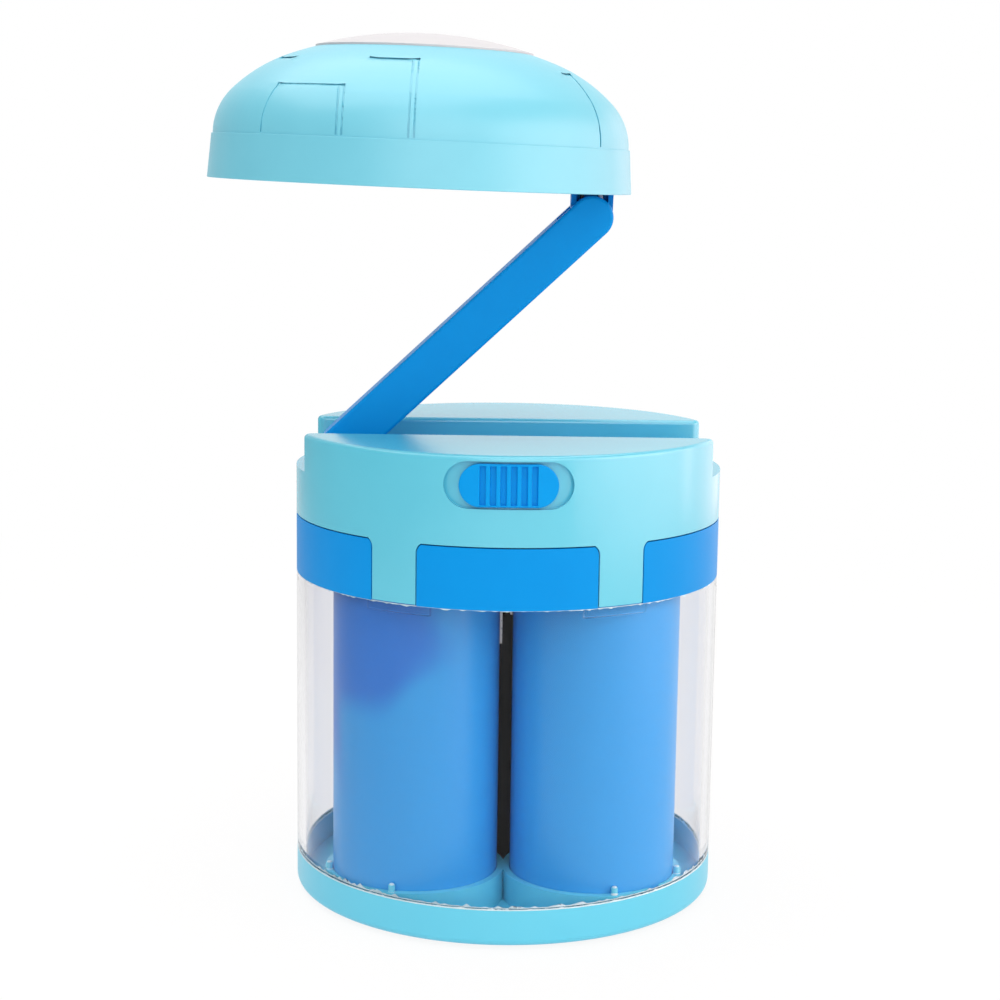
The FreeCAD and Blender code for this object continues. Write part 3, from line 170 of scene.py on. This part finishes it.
# Plated steel: a bright grey whose gloss is a little uneven, as plating leaves it
def platedSteel(name, base, rough=0.28, unevenMm=0.8):
    material, tree, coords = startMaterial(name)
    uneven = addNode(tree, "ShaderNodeTexNoise", {
        "Vector": coords, "Scale": 1 / (unevenMm * mm), "Detail": 4.0})
    roughMap = addNode(tree, "ShaderNodeMapRange", {
        "Value": uneven.outputs["Fac"], "To Min": rough - 0.08, "To Max": rough + 0.1})
    shader = addNode(tree, "ShaderNodeBsdfPrincipled", {
        "Base Color": colour(base), "Roughness": roughMap.outputs["Result"], "Metallic": 1.0})
    addNode(tree, "ShaderNodeOutputMaterial", {"Surface": shader.outputs["BSDF"]})
    return material


# One material for each slot of the record
materials = {
    # satin and pale on the dome, deeper and nearly matt on the band and arm
    "light_blue_plastic": mouldedPlastic("mouldedLightBlueAbs", "6ec4da", "66bed5", rough=0.36,
                                         specular=0.7),
    "blue_plastic": mouldedPlastic("mouldedBlueAbs", "0092e0", "008bda", rough=0.4, specular=0.08),
    "clear_plastic": clearPlastic("mouldedClearStyrene", "f3f3f5"),
    "tinted_plastic": shrunkFilm("blueShrinkFilm", filmSettings),
    # a greyish white cap, and a black core painted so dark that it also stands in for the shade in the gap
    # between the tubes
    "white_plastic": mouldedPlastic("mouldedWhiteAbs", "c5c6cb", "bfc0c6", rough=0.4),
    "black_plastic": mouldedPlastic("blackAbsAndGapShade", "10131a", "0c0e14", rough=0.5, specular=0.15),
    # milky white, so that it hides the chips behind it
    "frosted_lens": mouldedPlastic("frostedAcrylic", "f2f3f0", "eceeea", rough=0.36),
    # dull and slightly pebbled under the base
    "foot_rubber": mouldedPlastic("mouldedRubber", "2c2c2e", "262628", rough=0.75, grainMm=1.0,
                                  grainLift=0.04),
    "cell_can": platedSteel("platedSteelCan", "8c9098"),
    "spring_steel": platedSteel("nickelPlatedSteel", "c4c6c9"),
    # creamy washers, a bright board and glossy yellow chips
    "washer_nylon": mouldedPlastic("mouldedNylon", "e6e2d6", "dfdacb", rough=0.5),
    "board_white": mouldedPlastic("printedBoardMask", "eef0ee", "e6e9e6", rough=0.35),
    "chip_yellow": mouldedPlastic("castChipResin", "f2d96a", "ecd05c", rough=0.2),
    # smooth extruded skins on the two leads
    "lead_white": mouldedPlastic("extrudedWhitePvc", "f4f4f4", "ececec", rough=0.4),
    "lead_black": mouldedPlastic("extrudedBlackPvc", "1c1c1e", "161618", rough=0.4),
}
# A shinier shell, a brighter tray and a cleaner knob than their slots give
ownFinish = {
    "top_shell": mouldedPlastic("polishedLightBlueAbs", "5ac3dc", "52bdd7", rough=0.21, specular=0.85),
    "base_tray": mouldedPlastic("mouldedTrayAbs", "60cce8", "58c6e4", rough=0.34, specular=0.6),
    "slide_knob": mouldedPlastic("mouldedKnobAbs", "0098e4", "0090de", rough=0.34, specular=0.08),
}
# Plastic that was melted or bent turns pale and blotchy
weldWhite = mouldedPlastic("meltedStyreneFlash", "dff0f4", "bfe0ea", rough=0.4, cloudMm=2)
whitenedBlue = mouldedPlastic("stressWhitenedAbs", "e2f2f6", "c2e2ec", rough=0.4, cloudMm=1.5)
for name, node in frame["nodes"].items():
    node.data.materials.clear()
    node.data.materials.append(materials[slotOf[name]])
print("materials on nodes")

meshSettings = {"mergeMm": 0.0005, "flatDegrees": 0.4, "crispDegrees": 35, "sharpDegrees": 40}


# A bmesh becomes a smooth-shaded piece that rides on a body and may stand for CAD nodes
def finishPiece(name, shape, slot, body, nodes=(), finish=None):
    mesh = bpy.data.meshes.new(name)
    for face in shape.faces:
        face.smooth = True
    shape.to_mesh(mesh)
    shape.free()
    if "custom_normal" in mesh.attributes:
        mesh.attributes.remove(mesh.attributes["custom_normal"])
    mesh.set_sharp_from_angle(angle=math.radians(meshSettings["sharpDegrees"]))
    mesh.materials.clear()
    mesh.materials.append(finish or materials[slot])
    piece = bpy.data.objects.new(name, mesh)
    bpy.context.scene.collection.objects.link(piece)
    weights = piece.modifiers.new("weights", "WEIGHTED_NORMAL")
    weights.keep_sharp = True
    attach(piece, body)
    if nodes:
        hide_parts(*nodes)
    return piece


# A CAD node's loose triangles, merged and with their flat parts made one face
def copyShape(name):
    shape = bmesh.new()
    shape.from_mesh(frame["nodes"][name].data)
    bmesh.ops.remove_doubles(shape, verts=shape.verts, dist=meshSettings["mergeMm"] * mm)
    bmesh.ops.dissolve_limit(shape, angle_limit=math.radians(meshSettings["flatDegrees"]),
                             verts=shape.verts, edges=shape.edges)
    return shape


# Edges sharper than a moulder leaves them, from a level upwards
def crispEdges(shape, levelMm=-1000):
    crisp = math.radians(meshSettings["crispDegrees"])
    return [edge for edge in shape.edges
            if len(edge.link_faces) == 2 and edge.calc_face_angle(0) > crisp
            and min(vert.co.z for vert in edge.verts) > levelMm * mm]


def easeEdges(shape, edges, easeMm, segments=2):
    bmesh.ops.bevel(shape, geom=edges, offset=easeMm * mm, offset_type="OFFSET", affect="EDGES",
                    segments=segments, profile=0.5, material=-1, clamp_overlap=True)


def vertsOf(geom):
    return [part for part in geom if isinstance(part, bmesh.types.BMVert)]


# Panel lines on the dome are shallow: the floors of the grooves are raised towards the outer skin
grooveSettings = {"above": 14.6, "facing": 0.6, "capSeat": 27, "raise": 0.2}


def raiseGrooves(shape, groove):
    low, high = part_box("dome_shell")
    middle = Vector(((low.x + high.x) / 2, (low.y + high.y) / 2, low.z))
    moves = {}
    for edge in crispEdges(shape, (low.z / mm) + groove["above"]):
        if edge.calc_face_angle_signed(0) > 0:
            continue
        for vert in edge.verts:
            outward = vert.co - middle
            floor = max(vert.link_faces, key=lambda face: face.normal.dot(outward))
            facing = floor.normal.dot(outward.normalized())
            if facing > groove["facing"] and outward.xy.length > groove["capSeat"] * mm:
                moves[vert] = floor.normal * groove["raise"] * mm
    for vert, move in moves.items():
        vert.co += move
    print("groove floor points raised:", len(moves))


# Each moulded piece: how far its edges are eased, and a larger ease above a level on the shell
easeSettings = {
    "top_shell": {"ease": 0.3, "topLevel": 104, "topEase": 0.7},
    "inner_frame": {"ease": 0.25},
    "base_tray": {"ease": 0.25},
    "arm_front_half": {"ease": 0.3},
    "arm_rear_half": {"ease": 0.3},
    "head_bracket": {"ease": 0.2},
    "dome_shell": {"ease": 0.1},
}
for name, wanted in easeSettings.items():
    shape = copyShape(name)
    if name == "dome_shell":
        raiseGrooves(shape, grooveSettings)
    if "topEase" in wanted:
        easeEdges(shape, crispEdges(shape, wanted["topLevel"]), wanted["topEase"], segments=3)
    easeEdges(shape, crispEdges(shape), wanted["ease"])
    finishPiece(name + "_eased", shape, slotOf[name], bodyOf[name], [name], ownFinish.get(name))
print("edges eased on", len(easeSettings), "pieces")

# Slide knob: a pill with a raised rim and finger grooves, bent to the wall it slides on
knobSettings = {
    "length": 21.8, "height": 9.4, "back": 49.1, "face": 50.5, "rim": 0.45, "sides": 50, "ease": 0.18,
    "grooves": 6, "pitch": 2.25, "groove": 1.3, "depth": 0.95, "stem": 4.0,
}


def slideKnob(name, knob):
    shape = bmesh.new()
    pill = bmesh.ops.create_circle(shape, cap_ends=True, segments=knob["sides"],
                                   radius=knob["height"] / 2)["verts"]
    bmesh.ops.rotate(shape, verts=pill, matrix=Matrix.Rotation(math.pi / knob["sides"], 3, "Z"))
    for vert in pill:
        vert.co.x += math.copysign((knob["length"] - knob["height"]) / 2, vert.co.x)
    raised = bmesh.ops.extrude_face_region(shape, geom=shape.faces[:])["geom"]
    bmesh.ops.translate(shape, verts=vertsOf(raised), vec=(0, 0, knob["face"] - knob["back"]))
    face = next(part for part in raised if isinstance(part, bmesh.types.BMFace))
    bmesh.ops.inset_region(shape, faces=[face], thickness=knob["rim"], use_even_offset=True)
    middles = [knob["pitch"] * (i - (knob["grooves"] - 1) / 2) for i in range(knob["grooves"])]
    strips = [face] + face.edges[:] + face.verts[:]
    for middle in middles:
        for side in (-1, 1):
            cut = bmesh.ops.bisect_plane(shape, geom=strips, dist=1e-6, plane_no=(1, 0, 0),
                                         plane_co=(middle + side * knob["groove"] / 2, 0, 0))
            strips = cut["geom"]
    sunk = []
    for strip in strips:
        if isinstance(strip, bmesh.types.BMFace):
            across = strip.calc_center_median().x
            if min(abs(across - middle) for middle in middles) < knob["groove"] / 4:
                sunk.append(strip)
    floors = bmesh.ops.extrude_discrete_faces(shape, faces=sunk)["faces"]
    bmesh.ops.translate(shape, verts=list({vert for floor in floors for vert in floor.verts}),
                        vec=(0, 0, -knob["depth"]))
    bmesh.ops.recalc_face_normals(shape, faces=shape.faces)
    bmesh.ops.scale(shape, verts=shape.verts, vec=(mm, mm, mm))
    easeEdges(shape, crispEdges(shape), knob["ease"])
    low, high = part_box("switch_knob")
    level = (low.z + high.z) / 2
    for vert in shape.verts:
        turn = vert.co.x / (knob["face"] * mm)
        out = knob["back"] * mm + vert.co.z
        vert.co = (out * math.sin(turn), -out * math.cos(turn), level + vert.co.y)
    outer = -knob["back"] * mm
    stem = bmesh.ops.create_cube(shape, size=1)["verts"]
    bmesh.ops.scale(shape, verts=stem, vec=(knob["stem"] * mm, high.y - outer, knob["stem"] * mm))
    bmesh.ops.translate(shape, verts=stem, vec=(0, (high.y + outer) / 2, level))
    bmesh.ops.recalc_face_normals(shape, faces=shape.faces)
    return finishPiece(name, shape, slotOf["switch_knob"], bodyOf["switch_knob"], ["switch_knob"],
                       ownFinish[name])


slideKnob("slide_knob", knobSettings)
print("slide knob made")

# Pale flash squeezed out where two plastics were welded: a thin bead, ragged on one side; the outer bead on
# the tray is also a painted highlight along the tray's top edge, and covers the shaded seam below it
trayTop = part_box("clear_drum")[0].z / mm
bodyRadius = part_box("base_tray")[1].x / mm
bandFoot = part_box("inner_frame")[0].z / mm
beadSettings = {"sides": 6, "rarity": 8}  # the higher the rarity, the fewer tall points
flashSettings = {
    # painted highlight: this pale bead stands in for the light caught along the tray's top edge
    "tray_outer_flash": {"radius": bodyRadius - 0.21, "level": trayTop + 0.1, "bead": 0.2,
                         "lift": 0.25, "way": 1, "steps": 360, "seed": 3},
    "tray_inner_flash": {"radius": bodyRadius - 2.05, "level": trayTop, "bead": 0.12,
                         "lift": 0.9, "way": 1, "steps": 300, "seed": 5},
    "band_foot_flash": {"radius": bodyRadius - 0.1, "level": bandFoot, "bead": 0.07,
                        "lift": 0.35, "way": -1, "steps": 360, "seed": 8},
}


def weldFlash(name, ring):
    ragged = random.Random(ring["seed"])
    shape = bmesh.new()
    bead = bmesh.ops.create_circle(shape, segments=beadSettings["sides"], radius=ring["bead"] * mm)["verts"]
    bmesh.ops.rotate(shape, verts=bead, matrix=Matrix.Rotation(math.pi / 2, 3, "X"))
    bmesh.ops.translate(shape, verts=bead, vec=Vector((ring["radius"], 0, ring["level"])) * mm)
    bmesh.ops.spin(shape, geom=shape.verts[:] + shape.edges[:], cent=(0, 0, 0), axis=(0, 0, 1),
                   angle=math.tau, steps=ring["steps"], use_merge=True)
    bmesh.ops.remove_doubles(shape, verts=shape.verts, dist=0.001 * mm)

    # round the ring, then up, then out, so that each run draws the same raggedness
    def placeOf(vert):
        turn = round(math.atan2(vert.co.y, vert.co.x) / math.tau * ring["steps"]) % ring["steps"]
        return turn, round(vert.co.z / mm, 3), round(vert.co.xy.length / mm, 3)

    for vert in sorted(shape.verts, key=placeOf):
        lift = ragged.random() ** beadSettings["rarity"] * ring["lift"] * mm
        if (vert.co.z - ring["level"] * mm) * ring["way"] > 0:
            vert.co.z += ring["way"] * lift
    bmesh.ops.recalc_face_normals(shape, faces=shape.faces)
    return finishPiece(name, shape, "clear_plastic", "base", finish=weldWhite)


for name, ring in flashSettings.items():
    weldFlash(name, ring)
print("weld flash made:", len(flashSettings), "rings")

# Whitened tips on the tabs that hold each tube, bent a little as they were worked
tabSettings = {
    "tube": 20.4, "reach": 19.8, "turn": 32, "low": 9.6, "rise": 2.1, "foot": 0.82, "tip": 0.5,
    "sides": 14, "ease": 0.2, "lean": 9, "seed": 11,
}


def tabTips(name, tab):
    bent = random.Random(tab["seed"])
    shape = bmesh.new()
    for quarter in range(4):
        outward = math.radians(45 + 90 * quarter)
        middle = Vector((math.cos(outward), math.sin(outward), 0)) * tab["tube"] * math.sqrt(2)
        for side in (-1, 1):
            turn = outward + side * math.radians(tab["turn"])
            foot = middle + Vector((math.cos(turn), math.sin(turn), 0)) * tab["reach"]
            lean = Matrix.Rotation(math.radians(bent.uniform(-1, 1) * tab["lean"]), 4, "X")
            stand = Matrix.Translation((foot.x, foot.y, tab["low"] + tab["rise"] / 2))
            bmesh.ops.create_cone(shape, cap_ends=True, segments=tab["sides"], radius1=tab["foot"],
                                  radius2=tab["tip"], depth=tab["rise"], matrix=stand @ lean)
    bmesh.ops.scale(shape, verts=shape.verts, vec=(mm, mm, mm))
    easeEdges(shape, crispEdges(shape), tab["ease"])
    return finishPiece(name, shape, slotOf["base_tray"], "base", finish=whitenedBlue)


tabTips("tray_tab_tips", tabSettings)
print("tab tips made")

# Screw heads with a cross recess: a plate on each head, cut through to the head's own face
crossSettings = {"sides": 28, "ease": 0.08, "flatDegrees": 1}
screwSettings = {
    "arm_screws": {"axis": (0, 1, 0), "head": 1.75, "proud": 0.36, "wide": 0.55, "long": 2.1},
    "plate_screws": {"axis": (-0.03, 0, -1), "head": 2.0, "proud": 0.3, "wide": 0.6, "long": 2.3},
    "bracket_screws": {"axis": (-0.03, 0, -1), "head": 2.0, "proud": 0.3, "wide": 0.6, "long": 2.3},
}


# The middle of the outer face of every screw in a node
def headCentres(name, axis):
    shape = copyShape(name)
    centres = []
    loose = set(shape.verts)
    while loose:
        island = {loose.pop()}
        spread = list(island)
        while spread:
            vert = spread.pop()
            near = {edge.other_vert(vert) for edge in vert.link_edges} & loose
            loose -= near
            island |= near
            spread.extend(near)
        top = max(vert.co.dot(axis) for vert in island)
        rim = [vert.co for vert in island if vert.co.dot(axis) > top - 0.02 * mm]
        centres.append(sum(rim, Vector()) / len(rim))
    shape.free()
    return sorted(centres, key=lambda centre: tuple(round(part / mm, 2) for part in centre))


# A round plate with a cross cut out of it
def crossPlate(name, screw):
    plate = bmesh.new()
    bmesh.ops.create_circle(plate, cap_ends=True, segments=crossSettings["sides"],
                            radius=screw["head"] * mm)
    for across in (Vector((1, 0, 0)), Vector((0, 1, 0))):
        for offset in (-screw["long"], -screw["wide"], screw["wide"], screw["long"]):
            bmesh.ops.bisect_plane(plate, geom=plate.verts[:] + plate.edges[:] + plate.faces[:], dist=1e-7,
                                   plane_co=across * offset / 2 * mm, plane_no=across)
    recess = []
    for face in plate.faces:
        short, far = sorted(abs(part) for part in face.calc_center_median().xy)
        if short < screw["wide"] / 2 * mm and far < screw["long"] / 2 * mm:
            recess.append(face)
    bmesh.ops.delete(plate, geom=recess, context="FACES")
    raised = bmesh.ops.extrude_face_region(plate, geom=plate.faces[:])["geom"]
    bmesh.ops.translate(plate, verts=vertsOf(raised), vec=(0, 0, screw["proud"] * mm))
    bmesh.ops.recalc_face_normals(plate, faces=plate.faces)
    bmesh.ops.dissolve_limit(plate, angle_limit=math.radians(crossSettings["flatDegrees"]),
                             verts=plate.verts, edges=plate.edges)
    easeEdges(plate, crispEdges(plate), crossSettings["ease"])
    pattern = bpy.data.meshes.new(name + "_pattern")
    plate.to_mesh(pattern)
    plate.free()
    return pattern


def crossHeads(name, screw):
    axis = Vector(screw["axis"]).normalized()
    turned = axis.to_track_quat("Z", "Y").to_matrix().to_4x4()
    pattern = crossPlate(name, screw)
    heads = bmesh.new()
    for centre in headCentres(name, axis):
        before = set(heads.verts)
        heads.from_mesh(pattern)
        placed = [vert for vert in heads.verts if vert not in before]
        bmesh.ops.transform(heads, verts=placed, matrix=Matrix.Translation(centre) @ turned)
    bpy.data.meshes.remove(pattern)
    return finishPiece(name + "_cross", heads, slotOf[name], bodyOf[name])


for name, screw in screwSettings.items():
    crossHeads(name, screw)
print("cross recesses made on", len(screwSettings), "sets of screws")

# Camera of the photograph, fitted to the base, arm and dome
cameraSettings = {"place": (-1.85, -485.05, 172.45), "lens": 74.38, "sensor": 36, "pitch": 9.3146,
                  "roll": 0.7618, "nearest": 10}
cameraData = bpy.data.cameras.new("photoCamera")
cameraData.lens = cameraSettings["lens"]
cameraData.sensor_width = cameraSettings["sensor"]
cameraData.clip_start = cameraSettings["nearest"] * mm
camera = bpy.data.objects.new("photoCamera", cameraData)
bpy.context.scene.collection.objects.link(camera)
look = Matrix.Rotation(math.radians(90 - cameraSettings["pitch"]), 4, "X")
roll = Matrix.Rotation(math.radians(cameraSettings["roll"]), 4, "Z")
camera.matrix_world = Matrix.Translation(Vector(cameraSettings["place"]) * mm) @ look @ roll
bpy.context.scene.camera = camera

# Soft studio light: a warm key and two warm sheen panels at the right, a top box and a weak front light
lampAim = (0, 0, 100)
lampSettings = {
    "key": {"place": (880, -330, 300), "size": 800, "watts": 3.0, "tint": (1.0, 0.82, 0.70),
            "sheenOnly": False},
    "sheen": {"place": (480, -150, 120), "size": 800, "watts": 4.0, "tint": (1.0, 0.72, 0.66),
              "sheenOnly": True},
    "rim": {"place": (420, 330, 120), "size": 500, "watts": 1.0, "tint": (1.0, 0.62, 0.58),
            "sheenOnly": True},
    "front": {"place": (150, -950, 550), "size": 900, "watts": 3.6, "tint": (1.0, 0.94, 0.88),
              "sheenOnly": False},
    "top": {"place": (-150, 50, 950), "size": 1200, "watts": 8.0, "tint": (1.0, 0.92, 0.86),
            "sheenOnly": False},
}
for name, lamp in lampSettings.items():
    data = bpy.data.lights.new(name, "AREA")
    data.energy = lamp["watts"]
    data.size = lamp["size"] * mm
    data.color = lamp["tint"]
    item = bpy.data.objects.new(name, data)
    bpy.context.scene.collection.objects.link(item)
    item.location = Vector(lamp["place"]) * mm
    item.visible_camera = False
    item.visible_diffuse = not lamp["sheenOnly"]
    aim = Vector(lampAim) * mm - item.location
    item.rotation_euler = aim.to_track_quat("-Z", "Y").to_euler()


# One for a ray of any of the kinds named
def rayIs(tree, *kinds):
    rays = addNode(tree, "ShaderNodeLightPath")
    level = rays.outputs[kinds[0]]
    for kind in kinds[1:]:
        level = addNode(tree, "ShaderNodeMath", {
            0: level, 1: rays.outputs[kind]}, operation="MAXIMUM").outputs[0]
    return level


# White to look at and through; in gloss and as fill the studio is dimmer on its left side
worldSettings = {"leftGloss": 0.3, "rightGloss": 1.0, "leftFill": 0.55, "rightFill": 0.6,
                 "dimFrom": -0.9, "dimTo": -0.2}
pureWhite = (1, 1, 1, 1)
world = bpy.data.worlds.new("studio")
bpy.context.scene.world = world
world.use_nodes = True
tree = world.node_tree
tree.nodes.clear()
direction = addNode(tree, "ShaderNodeTexCoord").outputs["Generated"]
way = addNode(tree, "ShaderNodeSeparateXYZ", {"Vector": direction})
studio = {}
for use in ("Gloss", "Fill"):
    strength = addNode(tree, "ShaderNodeMapRange", {
        "Value": way.outputs["X"], "From Min": worldSettings["dimFrom"], "From Max": worldSettings["dimTo"],
        "To Min": worldSettings["left" + use], "To Max": worldSettings["right" + use]})
    studio[use] = addNode(tree, "ShaderNodeBackground", {
        "Color": pureWhite, "Strength": strength.outputs["Result"]})
white = addNode(tree, "ShaderNodeBackground", {"Color": pureWhite, "Strength": 1.0})
lit = addNode(tree, "ShaderNodeMixShader", {
    0: rayIs(tree, "Is Glossy Ray"), 1: studio["Fill"].outputs[0], 2: studio["Gloss"].outputs[0]})
mix = addNode(tree, "ShaderNodeMixShader", {
    0: rayIs(tree, "Is Camera Ray", "Is Transmission Ray"), 1: lit.outputs[0], 2: white.outputs[0]})
addNode(tree, "ShaderNodeOutputWorld", {"Surface": mix.outputs[0]})

# Pale floor that takes the shadow near the object and runs out to plain white
floorSettings = {"half": 3000, "paper": 0.9, "nearShare": 0.9, "nearMm": 120, "farMm": 500,
                 "dimFromMm": -600, "dimToMm": -100}
bpy.ops.mesh.primitive_plane_add(size=2 * floorSettings["half"] * mm)
floor = bpy.context.object
floor.name = "floor"
material, tree, coords = startMaterial("palePaper")
away = addNode(tree, "ShaderNodeVectorMath", {0: coords}, operation="LENGTH")
reach = addNode(tree, "ShaderNodeMapRange", {
    "Value": away.outputs["Value"], "From Min": floorSettings["nearMm"] * mm,
    "From Max": floorSettings["farMm"] * mm, "To Min": floorSettings["nearShare"], "To Max": 1.0})
share = addNode(tree, "ShaderNodeMath", {
    0: rayIs(tree, "Is Camera Ray", "Is Glossy Ray", "Is Transmission Ray"), 1: reach.outputs["Result"]},
    operation="MULTIPLY")
split = addNode(tree, "ShaderNodeSeparateXYZ", {"Vector": coords})
leftDim = addNode(tree, "ShaderNodeMapRange", {
    "Value": split.outputs["X"], "From Min": floorSettings["dimFromMm"] * mm,
    "From Max": floorSettings["dimToMm"] * mm, "To Min": worldSettings["leftGloss"], "To Max": 1.0})
glowLevel = addNode(tree, "ShaderNodeMix", {
    "Factor": rayIs(tree, "Is Glossy Ray"), "A": 1.0, "B": leftDim.outputs["Result"]}, data_type="FLOAT")
paper = addNode(tree, "ShaderNodeBsdfDiffuse", {"Color": (floorSettings["paper"],) * 3 + (1,)})
glow = addNode(tree, "ShaderNodeEmission", {
    "Color": pureWhite, "Strength": glowLevel.outputs["Result"]})
mix = addNode(tree, "ShaderNodeMixShader", {0: share.outputs[0], 1: paper.outputs[0], 2: glow.outputs[0]})
addNode(tree, "ShaderNodeOutputMaterial", {"Surface": mix.outputs[0]})
floor.data.materials.append(material)
bpy.context.scene.view_settings.view_transform = "Standard"
print("camera, lights and floor ready")
